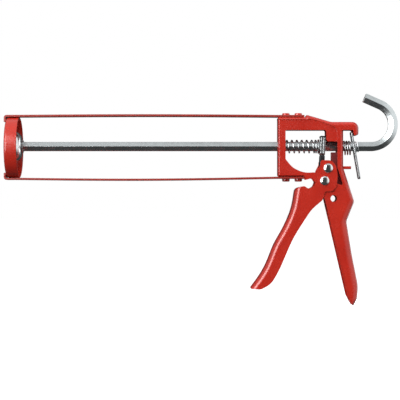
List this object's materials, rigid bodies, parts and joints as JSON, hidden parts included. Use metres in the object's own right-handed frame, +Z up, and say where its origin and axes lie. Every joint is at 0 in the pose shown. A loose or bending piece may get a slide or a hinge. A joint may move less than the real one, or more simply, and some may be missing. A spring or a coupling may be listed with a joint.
{
  "type": "caulking gun",
  "caption": "Skeleton caulking gun: a ring and two straps hold a cartridge, and a trigger drives a hooked push rod through a pressed sheet housing with a fixed handle.",
  "frame": {"origin": "middle of the fixed handle, where the palm holds it: 90 mm below the push rod's axis and 58 mm behind the housing's front face, on the mid-plane", "axes": "+X back along the push rod towards its hook, +Z up, +Y across the gun to its right-hand side as seen from the ring"},
  "size_m": [0.3455, 0.0532, 0.1858],
  "materials": {
    "red_paint": "gloss enamel over pressed sheet",
    "inner_paint": "thin dark overspray inside the sheet",
    "black_steel": "blackened",
    "chrome": "polished",
    "zinc_steel": "zinc plated, drawn",
    "spring_steel": "bright spring wire"
  },
  "bodies": {
    "frame": {"front_ring": "red_paint", "upper_strap": "red_paint", "lower_strap": "red_paint", "upper_front_rivet": "red_paint", "upper_rear_rivet": "red_paint", "lower_front_rivet": "red_paint", "lower_rear_rivet": "red_paint", "housing": "red_paint", "spine_rib": "inner_paint", "trigger_pivot_rivet": "chrome", "pivot_spacer": "zinc_steel", "main_spring": "spring_steel", "release_spring": "spring_steel"},
    "trigger": {"trigger": "red_paint", "drive_rivet": "chrome", "drive_roller": "zinc_steel"},
    "drive": {"front_drive_plate": "zinc_steel", "rear_drive_plate": "zinc_steel", "drive_pawl": "black_steel", "spring_washer": "zinc_steel"},
    "release": {"release_plate": "zinc_steel"},
    "rod": {"push_rod": "zinc_steel", "push_plate": "zinc_steel", "rod_collar": "zinc_steel", "rod_nut": "zinc_steel"}
  },
  "joints": [
    {"name": "trigger_pull", "type": "hinge", "parent": "frame", "child": "trigger", "pos_m": [-0.0173, 0, 0.0598], "axis": [0, -1, 0], "range_deg": [0, 42], "stiffness_Nm_per_rad": 0.15, "springref_deg": -22.92},
    {"name": "drive_slide", "type": "slide", "parent": "frame", "child": "drive", "axis": [-1, 0, 0], "range_m": [0, 0.0085], "stiffness_N_per_m": 500, "springref_m": -0.008, "deforming": ["main_spring"]},
    {"name": "release_tilt", "type": "hinge", "parent": "frame", "child": "release", "pos_m": [0.0069, 0, 0.1028], "axis": [0, 1, 0], "range_deg": [0, 7.5], "stiffness_Nm_per_rad": 0.08, "springref_deg": -17.19, "deforming": ["release_spring"]},
    {"name": "rod_slide", "type": "slide", "parent": "frame", "child": "rod", "axis": [1, 0, 0], "range_m": [0, 0.215]}
  ],
  "couplings": [
    {"joint": "drive_slide", "follows": "trigger_pull", "m_per_rad": 0.0111}
  ]
}
